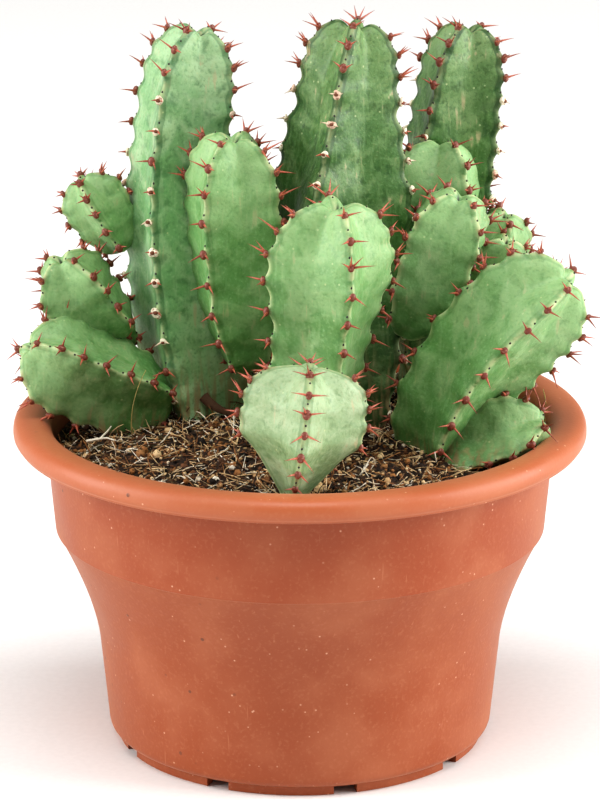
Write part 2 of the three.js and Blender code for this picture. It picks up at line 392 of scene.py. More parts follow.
@dataclass(frozen=True)
class MouldedPolypropylene:
    """Terracotta polypropylene, injection-moulded: satin, with pale flow specks, fine scuffs and dust; its lip
    is painted lighter, as painted light falling on the top of the pot.
    """

    lip: str = "#b0603b"
    band: str = "#994419"
    body: str = "#95451a"
    bloom: str = "#b87350"
    fleck: str = "#e9bb9d"
    dirt: str = "#43291b"
    shoulder: float = 66.0
    lip_height: float = 94.0

    def material(self) -> bpy.types.Material:
        """Builds the finish: flecks and dirt are drawn about half a millimetre wide, so that they show.

        Returns:
            The material.
        """
        g = Graph("moulded_polypropylene")
        at = g.add("TexCoord", {}, "Object")
        x, _, z = (g.add("SeparateXYZ", {0: at}, i) for i in range(3))
        cloud = g.add("TexNoise", {"Vector": at, "Scale": 1 / 0.022, "Detail": 4.0}, "Fac")
        fine = g.add("TexNoise", {"Vector": at, "Scale": 1 / 0.0011, "Detail": 3.0}, "Fac")
        speck = g.add("TexVoronoi", {"Vector": at, "Scale": 1 / 0.0034, "Randomness": 1.0}, "Distance")
        crumb = g.add("TexVoronoi", {"Vector": at, "Scale": 1 / 0.0062, "Randomness": 1.0}, "Distance")
        patch = g.add("TexNoise", {"Vector": at, "Scale": 1 / 0.013, "Detail": 2.0}, "Fac")
        scratch_at = g.add("Mapping", {"Vector": at, "Rotation": (0.35, 0.2, 0.5), "Scale": (900, 900, 24)})
        scratch = g.add("TexNoise", {"Vector": scratch_at, "Scale": 1.0, "Detail": 1.0}, "Fac")
        left = g.add("MapRange", {VALUE: x, LOW: 0.01, HIGH: -0.055}, **EASED)
        patchy = g.add("MapRange", {VALUE: patch, LOW: 0.47, HIGH: 0.62, MOST: left}, **EASED)
        dirty = g.add("MapRange", {VALUE: crumb, LOW: 0.12, HIGH: 0.07, MOST: patchy}, **EASED)
        dusty = g.add("MapRange", {VALUE: patch, LOW: 0.42, HIGH: 0.6, MOST: 0.55}, **EASED)
        layers = (
            (self.band, z, (self.shoulder - 0.2) * MM, (self.shoulder + 0.6) * MM, 1.0),
            # painted light: above the lip's level the pot takes the lighter lip colour, for the light that
            # falls on its top
            (self.lip, z, (self.lip_height - 0.6) * MM, (self.lip_height + 0.8) * MM, 1.0),
            (self.bloom, cloud, 0.4, 0.72, 0.34),
            (self.bloom, fine, 0.5, 0.75, 0.25),
            (self.bloom, scratch, 0.74, 0.8, 0.45),
            (self.fleck, speck, 0.11, 0.06, dusty),
            (self.dirt, crumb, 0.12, 0.07, patchy),
        )
        height = g.add("Math", {0: fine, 1: dirty}, operation="ADD")
        rough = g.add("MapRange", {VALUE: cloud, LOW: 0.3, HIGH: 0.7, LEAST: 0.4, MOST: 0.54}, **EASED)
        colour = g.paint(self.body, *layers)
        sheen = {"Sheen_Weight": 0.25, "Sheen_Roughness": 0.4, "Sheen_Tint": "#ffc9a4"}
        return g.finish(colour, rough, height, 0.05, IOR=1.49, **sheen)


class Age(Enum):
    """A skin's age: its deep, middle and pale greens, its foot green painted towards the bottom (painted shade
    where it is dark, painted light on the grown skin), its scuffs' strength and its cork's height.
    """

    OLD = ("#21441a", "#476c34", "#829e69", "#24471c", 0.75, 34.0)
    GROWN = ("#3f6b40", "#7aa770", "#b0ca9e", "#b5cf9f", 0.6, 30.0)
    YOUNG = ("#447538", "#6d9b5b", "#a3c18b", "#457639", 0.35, 12.0)
    PALE = ("#5c7a4b", "#7c9868", "#b0c19b", "#8aa576", 0.55, 3.0)


@dataclass(frozen=True)
class WaxySkin:
    """Living succulent skin under thin wax bloom: satin, soft mottling, pale ribs and cork low down."""

    age: Age
    edge: str = "#c3cf9b"
    scar: str = "#b9a883"
    cork: str = "#9a8460"
    tan: str = "#a56c4e"
    slit_shade: str = "#2f3a22"
    soil_level: float = 93.0

    def material(self) -> bpy.types.Material:
        """Builds the finish from the stem's own point values: crest, tooth, wave, slit and fresh.

        Returns:
            The material.
        """
        g = Graph(f"waxy_skin_{self.age.name.lower()}")
        deep, middle, pale, foot, scuffs, cork_height = self.age.value
        at = g.add("TexCoord", {}, "Object")
        z = g.add("SeparateXYZ", {0: at}, 2)
        names = ("crest", "tooth", "wave", "slit_shade", "fresh")
        reads = (g.add("Attribute", {}, "Fac", attribute_name=name) for name in names)
        crest, tooth, wave, slit_shade, fresh = reads
        swirl = {"Vector": at, "Scale": 1 / 0.011, "Detail": 4.0, "Distortion": 0.6}
        cloud = g.add("TexNoise", swirl, "Fac")
        blotch = {"Vector": at, "Scale": 1 / 0.0036, "Detail": 5.0, "Distortion": 0.4}
        mottle = g.add("TexNoise", blotch, "Fac")
        pore = g.add("TexNoise", {"Vector": at, "Scale": 1 / 0.0009, "Detail": 3.0}, "Fac")
        speck = g.add("TexVoronoi", {"Vector": at, "Scale": 1 / 0.0042}, "Distance")
        drag_at = g.add("Mapping", {"Vector": at, "Scale": (1 / 0.0016, 1 / 0.0016, 1 / 0.014)})
        drag = g.add("TexNoise", {"Vector": drag_at, "Scale": 1.0, "Detail": 4.0, "Distortion": 0.3}, "Fac")
        cork_top = (self.soil_level + cork_height) * MM
        low = g.add("MapRange", {VALUE: z, LOW: cork_top, HIGH: self.soil_level * MM}, **EASED)
        corky = g.add("MapRange", {VALUE: drag, LOW: 0.42, HIGH: 0.66, MOST: low}, **EASED)
        scuffed = g.add("MapRange", {VALUE: cloud, LOW: 0.5, HIGH: 0.62, MOST: scuffs}, **EASED)
        worn = g.add("Math", {0: crest, 1: 1.15 - scuffs}, operation="MULTIPLY")
        layers = (
            # towards the bottom the skin takes its foot green at 0.7 of the scuffs' strength: painted shade on
            # old and young skins, painted light on the grown skin, a lighter green on the pale skin
            (foot, z, 0.135, 0.1, 0.7 * scuffs),
            (pale, fresh, 0.15, 0.9, 0.55),
            (pale, cloud, 0.45, 0.66, 0.35 + 0.4 * scuffs),
            (deep, mottle, 0.5, 0.3, 0.12 + 0.6 * scuffs),
            (pale, wave, 0.4, 1.0, 0.2 + 0.25 * scuffs),
            (deep, pore, 0.47, 0.3, 0.12 + 0.3 * scuffs),
            (pale, pore, 0.55, 0.7, 0.3),
            (pale, drag, 0.5, 0.75, 0.35),
            (deep, crest, 0.0, 0.06, scuffs),
            (self.edge, mottle, 0.36, 0.6, worn),
            (self.edge, speck, 0.1, 0.05, 0.5),
            (self.scar, drag, 0.58, 0.7, scuffed),
            (self.tan, tooth, 0.6, 1.0, 0.35),
            (self.cork, drag, 0.42, 0.66, low),
            # painted shade: a dark line across the sunken growing point stands for the shade in its slit
            (self.slit_shade, slit_shade, 0.0, 1.0, 1.0),
        )
        rough = g.add("MapRange", {VALUE: mottle, LOW: 0.3, HIGH: 0.7, LEAST: 0.4, MOST: 0.56}, **EASED)
        rough = g.add("Math", {0: rough, 1: corky}, operation="ADD", use_clamp=True)
        height = g.add("Math", {0: mottle, 1: pore}, operation="ADD")
        colour = g.paint(middle, *layers)
        flesh = {"Subsurface_Weight": 0.12, "Subsurface_Scale": 0.002}
        return g.finish(colour, rough, height, 0.12, IOR=1.42, **flesh)


@dataclass(frozen=True)
class SpineHorn:
    """Horny spine and shield tissue, grown and weathered: chestnut red, dark at the points, grey when old."""

    def material(self) -> bpy.types.Material:
        """Builds the finish: a tone of 0 is a black eye, 0.5 a chestnut spine and 1 a bleached one.

        Returns:
            The material.
        """
        g = Graph("horny_spine")
        tone, run = (g.add("Attribute", {}, "Fac", attribute_name=n) for n in ("tone", "run"))
        at = g.add("TexCoord", {}, "Object")
        grain = g.add("TexNoise", {"Vector": at, "Scale": 1 / 0.0007, "Detail": 3.0}, "Fac")
        layers = (
            ("#b8604a", tone, 0.35, 0.5, 1.0),
            ("#dfc9ae", tone, 0.75, 0.85, 1.0),
            ("#6b2a1e", run, 0.55, 1.0, 0.7),
            ("#dba58d", grain, 0.56, 0.72, 0.45),
            ("#1d130d", tone, 0.2, 0.1, 1.0),
        )
        return g.finish(g.paint("#7d4030", *layers), 0.42, grain, 0.08, IOR=1.5)


@dataclass(frozen=True)
class CorkPad:
    """Old areole cork, dried to a felted cushion: chalky cream and pink, with darker pits."""

    def material(self) -> bpy.types.Material:
        """Builds the finish: each pad's tone runs from cream to pink.

        Returns:
            The material.
        """
        g = Graph("areole_cork")
        tone = g.add("Attribute", {}, "Fac", attribute_name="tone")
        at = g.add("TexCoord", {}, "Object")
        grain = g.add("TexNoise", {"Vector": at, "Scale": 1 / 0.0008, "Detail": 4.0}, "Fac")
        layers = (
            ("#d9a792", tone, 0.6, 1.0, 0.8),
            ("#8d5a42", grain, 0.47, 0.32, 0.8),
            ("#70412c", tone, 1.2, 1.6, 1.0),
        )
        return g.finish(g.paint("#eadfc6", *layers), 0.85, grain, 0.3, IOR=1.45)


@dataclass(frozen=True)
class PeatMix:
    """Peat and coir potting mix, loose and half dry: near black to tan crumbs, dull and broken."""

    def material(self) -> bpy.types.Material:
        """Builds the ground's finish: its grains are drawn about a millimetre wide.

        Returns:
            The material.
        """
        g = Graph("peat_mix")
        at = g.add("TexCoord", {}, "Object")
        x = g.add("SeparateXYZ", {0: at}, 0)
        crumb = g.add("TexVoronoi", {"Vector": at, "Scale": 1 / 0.0016}, "Color")
        pick = g.add("SeparateColor", {0: crumb}, 0)
        crumb_gap_shade = g.add("TexVoronoi", {"Vector": at, "Scale": 1 / 0.0016}, "Distance")
        fine = g.add("TexNoise", {"Vector": at, "Scale": 1 / 0.0009, "Detail": 4.0}, "Fac")
        cloud = g.add("TexNoise", {"Vector": at, "Scale": 1 / 0.014, "Detail": 3.0}, "Fac")
        mossy = g.add("MapRange", {VALUE: x, LOW: -0.01, HIGH: -0.05, MOST: 0.4}, **EASED)
        layers = (
            ("#744a2e", pick, 0.4, 0.7, 1.0),
            ("#b89468", pick, 0.8, 0.95, 1.0),
            ("#180d08", fine, 0.52, 0.36, 0.9),
            ("#5f5a2c", cloud, 0.45, 0.65, mossy),
            # painted shade: each crumb darkens towards its edge, for the shade in the gaps between crumbs
            ("#1c110b", crumb_gap_shade, 0.3, 0.6, 0.8),
        )
        return g.finish(g.paint("#37200f", *layers), 0.9, fine, 0.6, IOR=1.45)


@dataclass(frozen=True)
class LooseCrumb:
    """Loose peat crumbs and coir fibres, dried as they lie: matt, from black through tan to chalk."""

    def material(self) -> bpy.types.Material:
        """Builds the finish: a copy's tone runs from black at 0 to bleached at 1.

        Returns:
            The material.
        """
        g = Graph("loose_crumb")
        tone = g.add("Attribute", {}, "Fac", attribute_name="tone")
        at = g.add("TexCoord", {}, "Object")
        fine = g.add("TexNoise", {"Vector": at, "Scale": 1 / 0.0007, "Detail": 3.0}, "Fac")
        layers = (
            ("#5f3b22", tone, 0.08, 0.3, 1.0),
            ("#a06c3d", tone, 0.3, 0.55, 1.0),
            ("#e3c293", tone, 0.55, 0.8, 1.0),
            ("#f1e6d2", tone, 0.88, 0.98, 1.0),
            ("#1c110b", fine, 0.48, 0.32, 0.75),
        )
        return g.finish(g.paint("#180e08", *layers), 0.88, fine, 0.3, IOR=1.45)


@dataclass(frozen=True)
class DryLitter:
    """Dead grass, twig and root, weathered dry: fibrous along its length, straw to grey-brown."""

    def material(self) -> bpy.types.Material:
        """Builds the finish: a strand's tone is 0 for root, 0.5 for straw and 1 for a bleached twig.

        Returns:
            The material.
        """
        g = Graph("dry_litter")
        tone = g.add("Attribute", {}, "Fac", attribute_name="tone")
        at = g.add("TexCoord", {}, "Object")
        strand = {"Vector": at, "Scale": 1 / 0.0012, "Detail": 4.0, "Distortion": 1.0}
        fibre = g.add("TexNoise", strand, "Fac")
        layers = (
            ("#4a3122", tone, 0.0, -0.4, 0.85),
            ("#cbb070", tone, 0.25, 0.5, 1.0),
            ("#e2d8c4", tone, 0.75, 1.0, 1.0),
            ("#5d4029", fibre, 0.48, 0.3, 0.7),
        )
        return g.finish(g.paint("#8a5f3d", *layers), 0.8, fibre, 0.3, IOR=1.45)


@dataclass(frozen=True)
class PaperSweep:
    """A studio's matt paper sweep: pale and even, with a trace of tooth."""

    def material(self) -> bpy.types.Material:
        """Builds the finish.

        Returns:
            The material.
        """
        g = Graph("paper_sweep")
        at = g.add("TexCoord", {}, "Object")
        tooth = g.add("TexNoise", {"Vector": at, "Scale": 1 / 0.002, "Detail": 2.0}, "Fac")
        colour = g.paint("#f2f1ef", ("#efeeec", tooth, 0.3, 0.7, 1.0))
        return g.finish(colour, 0.9, tooth, 0.02, Specular_IOR_Level=0.1)


# ---- the pot and its soil ----


@dataclass
class NurseryPot:
    """A round moulded pot with a flared body, a straight band, a turned-down lip and a notched foot."""

    height: float = 101.0
    neck: float = 76.0
    shoulder: float = 73.4
    shoulder_height: float = 66.0
    flare: float = 72.8
    waist: float = 60.4
    waist_height: float = 30.0
    base: float = 58.0
    foot: float = 55.2
    foot_width: float = 3.4
    foot_height: float = 3.0
    wall: float = 2.0
    rim: float = 85.5
    lip_edge: float = 84.6
    lip_depth: float = 7.0
    lip_skirt: float = 1.8
    notches: int = 9
    first_notch: float = 14.0
    notch_size: tuple[float, float] = (7.0, 2.6)
    slot_size: tuple[float, float] = (3.6, 11.0)
    steps: int = 216

    def outline(self) -> Points:
        """Draws the wall, from the middle of its underside round to the middle of its floor.

        Returns:
            (radius, height) points in millimetres.
        """
        bottom, low = self.foot_height, self.height - self.lip_depth
        neck_height = self.height - 5.2
        ceiling = neck_height + 1.4
        bore = self.neck - self.wall
        crest = (bore + self.rim) / 2 + 1.0
        side = (self.waist + 0.1 * (self.flare - self.waist), self.waist_height + 14.4)
        flare = curve((self.waist, self.waist_height), side, (self.flare, self.shoulder_height), 18)
        inner = [(radius - self.wall, height) for radius, height in flare]
        return [
            (0.0, bottom),
            *((share * (self.foot - self.foot_width), bottom) for share in (0.35, 0.7, 1.0)),
            *arc((self.foot - self.foot_width + 0.4, 0.4), 0.4, 180, 270, 4),
            *arc((self.foot - 0.4, 0.4), 0.4, 270, 360, 4),
            *arc((self.foot, bottom + self.base - self.foot), self.base - self.foot, -90, 0, 8),
            (self.base + 0.8, 14.0),
            *flare,
            *arc((self.shoulder - 0.5, self.shoulder_height + 0.6), 0.5, -50, 0, 4),
            ((self.shoulder + self.neck) / 2, 81.0),
            (self.neck, neck_height),
            *arc((self.neck + 0.6, ceiling - 0.6), 0.6, 180, 90, 4),
            (self.lip_edge - self.lip_skirt, ceiling),
            *arc((self.lip_edge - self.lip_skirt + 0.35, low + 0.35), 0.35, 180, 270, 4),
            *arc((self.lip_edge - 0.45, low + 0.45), 0.45, 270, 360, 5),
            *curve((self.lip_edge + 0.1, low + 0.7), (self.rim, low + 1.2), (self.rim, low + 2.2), 4),
            *curve((self.rim, low + 2.6), (self.rim, self.height), (crest, self.height), 12),
            *curve((crest - 0.6, self.height), (bore, self.height), (bore, neck_height), 12),
            (self.shoulder - self.wall, self.shoulder_height + 1.0),
            *reversed(inner),
            (self.base - self.wall, 12.0),
            *arc((self.base - self.wall - 2.6, bottom + self.wall + 2.6), 2.6, 0, -90, 5),
            *((share * 50.0, bottom + self.wall) for share in (0.9, 0.5, 0.0)),
        ]

    def cutters(self) -> bpy.types.Object:
        """Makes the blocks that cut the foot's notches and the floor's drain slots.

        Returns:
            One object that holds them all.
        """
        bm = bmesh.new()
        drain = self.foot - self.foot_width - self.slot_size[1] / 2 - self.wall
        notch = (self.notch_size[0], 3 * self.foot_width, 2 * self.notch_size[1])
        slot = (*self.slot_size, 4 * self.wall)
        floor = self.foot_height + self.wall / 2
        blocks = ((notch, self.foot - self.foot_width / 2, 0.0), (slot, drain, floor))
        for index in range(self.notches):
            heading = Matrix.Rotation(math.radians(self.first_notch + index * 360 / self.notches), 4, "Z")
            for size, radius, height in blocks:
                cube = bmesh.ops.create_cube(bm, size=MM, matrix=Matrix.Diagonal((*size, 1)))["verts"]
                bmesh.ops.translate(bm, verts=cube, vec=(0, -radius * MM, height * MM))
                bmesh.ops.transform(bm, verts=cube, matrix=heading)
        cutter = bpy.data.objects.new("cutter", smooth_mesh(bm, "cutter"))
        bpy.context.scene.collection.objects.link(cutter)
        return cutter

    def build(self, finish: MouldedPolypropylene) -> None:
        """Spins the wall, cuts its openings and dresses it.

        Args:
            finish: its finish.
        """
        blank = bpy.data.objects.new("blank", smooth_mesh(turned(self.outline(), self.steps), "blank"))
        bpy.context.scene.collection.objects.link(blank)
        cutter = self.cutters()
        cut = blank.modifiers.new("openings", "BOOLEAN")
        cut.operation, cut.solver, cut.object = "DIFFERENCE", "EXACT", cutter
        bpy.context.view_layer.update()
        mesh = bpy.data.meshes.new_from_object(blank.evaluated_get(bpy.context.evaluated_depsgraph_get()))
        bpy.data.objects.remove(blank)
        bpy.data.objects.remove(cutter)
        mesh.materials.clear()
        mesh.set_sharp_from_angle(angle=math.radians(35))
        place(mesh, "nursery_pot", finish.material(), "pot_plastic", "pot")


@dataclass
class PottingSoil:
    """The mounded potting mix, with loose crumbs and fibres lying on it."""

    radius: float = 73.2
    edge: float = 91.0
    mound: float = 6.0
    floor: float = 5.4
    rings: int = 92
    steps: int = 300
    crumbs: int = 5200
    fibres: int = 3600

    def top(self, radius: Array) -> Array:
        """Height of the smooth mound at a radius, in millimetres."""
        share = np.clip(np.asarray(radius) / self.radius, 0, 1)
        return self.edge + self.mound * (1 - share**2.4) ** 1.15

    def lumps(self, points: Array) -> Array:
        """How far the broken surface stands off the mound at each point, in millimetres."""
        clod, crumb = ripple(points, 9.0, 3, 1.0), ripple(points, 2.2, 3, 2.0)
        return 1.5 * clod + 1.0 * crumb

    def build(self, finish: PeatMix) -> None:
        """Spins the soil, breaks up its top and dresses it.

        Args:
            finish: its finish.
        """
        radii = np.linspace(self.radius, 0, self.rings)
        wall = ((0.0, self.floor), (30.0, self.floor), (52.0, self.floor), (55.4, 8.0), (58.0, 30.0))
        flare = curve((58.0, 30.0), (59.3, 44.4), (70.4, 66.0), 9)[1:]
        outline = [*wall, *flare, *((r, float(self.top(r))) for r in radii)]
        bm = turned(outline, self.steps)
        loose = [v for v in bm.verts if v.co.z > (self.edge - 0.5) * MM]
        places = np.array([v.co[:] for v in loose])
        inside = np.clip((self.radius - 0.5 - np.hypot(places[:, 0], places[:, 1]) / MM) / 1.5, 0, 1)
        for vert, rise in zip(loose, self.lumps(places) * inside):
            vert.co.z += rise * MM
        place(smooth_mesh(bm, "potting_soil", 180), "potting_soil", finish.material(), "soil", "soil")

    def spots(self, count: int, rng: np.random.Generator, stems: "Clump") -> Array:
        """Random places on the broken surface that no stem covers.

        Args:
            count: how many to draw.
            rng: the random source.
            stems: the clump that stands in the soil.

        Returns:
            The places that are free, in metres.
        """
        radius = (self.radius - 1.6) * np.sqrt(rng.random(count))
        angle = math.tau * rng.random(count)
        flat = np.column_stack([radius * np.cos(angle), radius * np.sin(angle), self.top(radius)]) * MM
        flat[:, 2] += self.lumps(flat) * MM
        return flat[~stems.covers(flat, 0.9)]

    def scatter(self, finish: LooseCrumb, stems: "Clump") -> None:
        """Lays loose crumbs and fibres on the soil.

        Args:
            finish: their finish.
            stems: the clump, under which none lie.
        """
        rng = np.random.default_rng(SEED)
        crumbs, fibres = Stampings(), Stampings()
        for spot in self.spots(self.crumbs, rng, stems):
            size = min(0.28 + rng.lognormal(-1.25, 0.65), 1.9) * MM
            up, across = rng.normal(size=3) + UP, rng.normal(size=3)
            matrix = axes(up, across, size, size * rng.uniform(0.5, 1.1), 0.75)
            tone = rng.beta(0.8, 1.3) if rng.random() < 0.96 else 1.0
            crumbs.add(Stamp.GRAIN, matrix, spot + UP * size * 0.2, tone)
        for spot in self.spots(self.fibres, rng, stems):
            lean = np.array([*rng.normal(size=2), abs(rng.normal(0.1, 0.35))])
            length, width = rng.uniform(2.0, 7.0) * MM, rng.uniform(0.11, 0.28) * MM
            matrix = axes(lean, rng.normal(size=3), width, length)
            reach = np.hypot(*(spot + matrix[:, 2])[:2])
            if reach < (self.radius - 0.5) * MM:
                tone, bend = rng.beta(1.2, 0.7), rng.normal(0, 2.5)
                fibres.add(Stamp.FIBRE, matrix, spot + UP * 0.25 * MM, tone, bend)
        place(crumbs.mesh("soil_crumbs"), "soil_crumbs", finish.material(), "soil")
        place(fibres.mesh("coir_fibres"), "coir_fibres", finish.material(), "soil")


# ---- the stems ----


@dataclass
class Stem:
    """One four-ribbed stem, whose axis runs from `foot` to `tip`: `bow` is how far its middle leaves the line.

    `girth` pairs a share of the length with a radius, `facing` is the heading of one rib at half length and
    `twist` is its turn from foot to tip. `spacing` is the distance between the spine pairs on a rib, and
    the side ribs bear none below `bare`. `hollow` and `tip_hollow` are how far the faces sink between the
    ribs, `tooth_size`, `swell_size` and `ridge_size` are how wide the rib's relief is, a stem thinner than
    `full_size` shows less of it, and new growth is paler for `fresh_length` below the tip.
    """

    name: str
    age: Age
    foot: Array
    reach: tuple[float, float, float]
    bow: tuple[float, float, float]
    girth: Points
    dome: float
    facing: float
    twist: float
    spacing: float
    spine: float
    straight: bool = False
    bare: float = 0.0
    ribs: int = 4
    edge_angle: float = 0.05
    hollow: float = 0.045
    tip_hollow: float = 0.2
    tooth_size: float = 1.7
    swell_size: tuple[float, float] = (4.6, 3.3)
    ridge_size: float = 0.75
    full_size: float = 12.0
    fresh_length: float = 24.0
    dome_power: float = 2.2
    around: int = 112
    gather: float = 0.62

    @property
    def tip(self) -> Array:
        """The tip of the axis."""
        return self.foot + np.array(self.reach, float)

    @property
    def length(self) -> float:
        """The axis's length, taken straight."""
        return float(np.linalg.norm(self.reach))

    def axis(self, share: Array) -> Array:
        """Points of the axis at shares of its length."""
        share = np.asarray(share, float)[..., None]
        return self.foot + np.array(self.reach) * share + np.array(self.bow) * 4 * share * (1 - share)

    def frame(self, share: Array) -> tuple[Array, Array, Array]:
        """The axis's direction, and the front and right of its cross-section.

        Args:
            share: shares of the length.

        Returns:
            Three arrays of unit directions.
        """
        share = np.asarray(share, float)[..., None]
        along = np.array(self.reach) + np.array(self.bow) * (4 - 8 * share)
        along = along / np.linalg.norm(along, axis=-1, keepdims=True)
        front = FRONT - along * (along @ FRONT)[..., None]
        front = front / np.linalg.norm(front, axis=-1, keepdims=True)
        return along, front, np.cross(along, front)

    def crest(self, share: Array) -> Array:
        """The radius to the ribs, rounded off at the foot and the tip.

        Args:
            share: shares of the length.

        Returns:
            Radii in millimetres.
        """
        share = np.asarray(share, float)
        radius = np.full(share.shape, float(self.girth[0][1]))
        for (start, low), (end, high) in zip(self.girth, self.girth[1:]):
            ease = np.clip((share - start) / (end - start), 0, 1)
            radius = radius + (high - low) * (ease if self.straight else ease * ease * (3 - 2 * ease))
        to_tip = np.clip(1 - (1 - share) * self.length / self.dome, 0, 1)
        to_foot = np.clip(1 - share * self.length / self.girth[0][1], 0, 1)
        for gone in (to_tip, to_foot):
            radius = radius * np.clip(1 - gone**self.dome_power, 0, 1) ** (1 / self.dome_power)
        return radius

    def turn(self, share: Array) -> Array:
        """Heading of the first rib at shares of the length, in radians."""
        return np.radians(self.facing + self.twist * (np.asarray(share) - 0.5))

    def outward(self, share: Array, angle: Array) -> Array:
        """Directions out of the axis.

        Args:
            share: shares of the length.
            angle: angles from the first rib.

        Returns:
            Unit directions.
        """
        _, front, right = self.frame(share)
        heading = np.asarray(angle + self.turn(share))[..., None]
        return front * np.cos(heading) + right * np.sin(heading)

    def nodes(self, rib: int) -> Array:
        """Where a rib bears its spine pairs, closer together near the tip.

        Args:
            rib: the rib's number.

        Returns:
            Shares of the stem's length.
        """
        spot = self.dome * (0.09 + 0.13 * (rib % 2))
        places = []
        lowest = self.bare if rib % 2 else 0.04
        while spot < self.length * (1 - lowest):
            places.append(1 - spot / self.length)
            spot += self.spacing * min(1.0, 0.42 + 0.16 * len(places))
        return np.array(places)

    def build(self) -> bpy.types.Mesh:
        """Shapes the stem from a sphere whose meridians are drawn together at the ribs.

        Returns:
            The mesh, with the values that its finish reads.
        """
        bm = bmesh.new()
        rings = max(90, int(1.45 * self.length))
        bmesh.ops.create_uvsphere(bm, u_segments=self.around, v_segments=rings, radius=1.0)
        ball = np.array([v.co[:] for v in bm.verts])
        share = np.clip((1 + ball[:, 2]) / 2, 0, 1)
        angle = np.arctan2(ball[:, 1], ball[:, 0])
        angle = angle - self.gather / self.ribs * np.sin(self.ribs * angle)
        points, values = self.surface(share, angle)
        for vert, point in zip(bm.verts, points):
            vert.co = point
        bmesh.ops.recalc_face_normals(bm, faces=bm.faces)
        mesh = smooth_mesh(bm, self.name, 180)
        add_values(mesh, **values)
        return mesh

    def section(self, off: Array, at_tip: Array) -> Array:
        """The skin's radius as a share of the ribs': nearly flat faces, hollowed towards the growing point.

        Args:
            off: the angle from the nearest rib.
            at_tip: 1 at the growing point, falling to 0 where the dome starts.

        Returns:
            Shares of the rib's radius.
        """
        half = math.pi / self.ribs
        eased = np.sqrt(off**2 + self.edge_angle**2) - self.edge_angle
        flat = math.cos(half) / np.cos(half - eased)
        return flat - (self.hollow + self.tip_hollow * at_tip) * np.sin(off * self.ribs / 2) ** 2

    def surface(self, share: Array, angle: Array) -> tuple[Array, dict[str, Array]]:
        """Places of the skin, with the values that its finish reads.

        Args:
            share: shares of the length.
            angle: angles from the first rib, in radians.

        Returns:
            Places in metres, and the values by name.
        """
        crest = self.crest(share)
        off = np.abs(np.angle(np.exp(1j * angle * self.ribs))) / self.ribs
        face = np.sin(off * self.ribs / 2)
        to_tip = np.clip(1 - (1 - share) * self.length / self.dome, 0, 1)
        tooth, swell = np.zeros(share.shape), np.zeros(share.shape)
        for rib in range(self.ribs):
            side = np.abs(np.angle(np.exp(1j * (angle - rib * math.tau / self.ribs)))) * crest
            far = np.min(np.abs(share[:, None] - self.nodes(rib)), axis=1) * self.length
            fine, (wide, long) = self.tooth_size, self.swell_size
            tooth = np.maximum(tooth, np.exp(-((side / fine) ** 2) - (far / fine) ** 2))
            swell = np.maximum(swell, np.exp(-((side / wide) ** 2) - (far / long) ** 2))
        line = np.exp(-((off * crest / self.ridge_size) ** 2))
        small = np.clip(crest / self.full_size, 0, 1)
        wave = np.cos(math.tau * (share * self.length + 0.7 * crest * face) / self.spacing) * face
        relief = 0.8 * tooth + 1.0 * swell + 0.3 * line + 0.08 * wave
        radius = crest * self.section(off, to_tip) + small * relief
        smooth = self.axis(share) * MM + self.outward(share, angle) * (radius * MM)[:, None]
        seed = float(sum(map(ord, self.name)))
        uneven = 0.32 * ripple(smooth, 19.0, 2, seed) + 0.07 * ripple(smooth, 4.0, 3, seed + 1)
        radius = radius + small * uneven
        points = self.axis(share) + self.outward(share, angle) * radius[:, None]
        core = np.clip(1 - radius / (0.34 * self.dome), 0, 1) * (share > 0.8)
        points -= self.frame(share)[0] * (core * core * 0.3 * self.dome)[:, None]
        across = np.abs(radius * np.sin(angle + 0.4))
        near = np.clip(1.4 - radius / (0.14 * self.dome), 0, 1) * (share > 0.8)
        # painted shade of the slit: a dark line across the middle of the sunken growing point
        slit_shade = np.clip(1.3 - across / 0.5, 0, 1) * near
        fresh = np.exp(-(1 - share) * self.length / self.fresh_length)
        values = {"crest": line, "tooth": tooth, "wave": wave, "slit_shade": slit_shade, "fresh": fresh}
        return points * MM, values

    def skin_point(self, share: float, angle: float) -> Array:
        """One place of the skin, in metres."""
        return self.surface(np.array([share]), np.array([angle]))[0][0]

    def covers(self, places: Array, part: float) -> Array:
        """Whether each place lies within a part of the stem's radius.

        Args:
            places: points in metres.
            part: the share of the radius that counts.

        Returns:
            True for each place inside.
        """
        shares = np.linspace(0.01, 0.99, 60)
        gaps = np.linalg.norm(places[:, None] / MM - self.axis(shares)[None], axis=2)
        return np.any(gaps < part * self.crest(shares)[None] * math.cos(math.pi / self.ribs), axis=1)


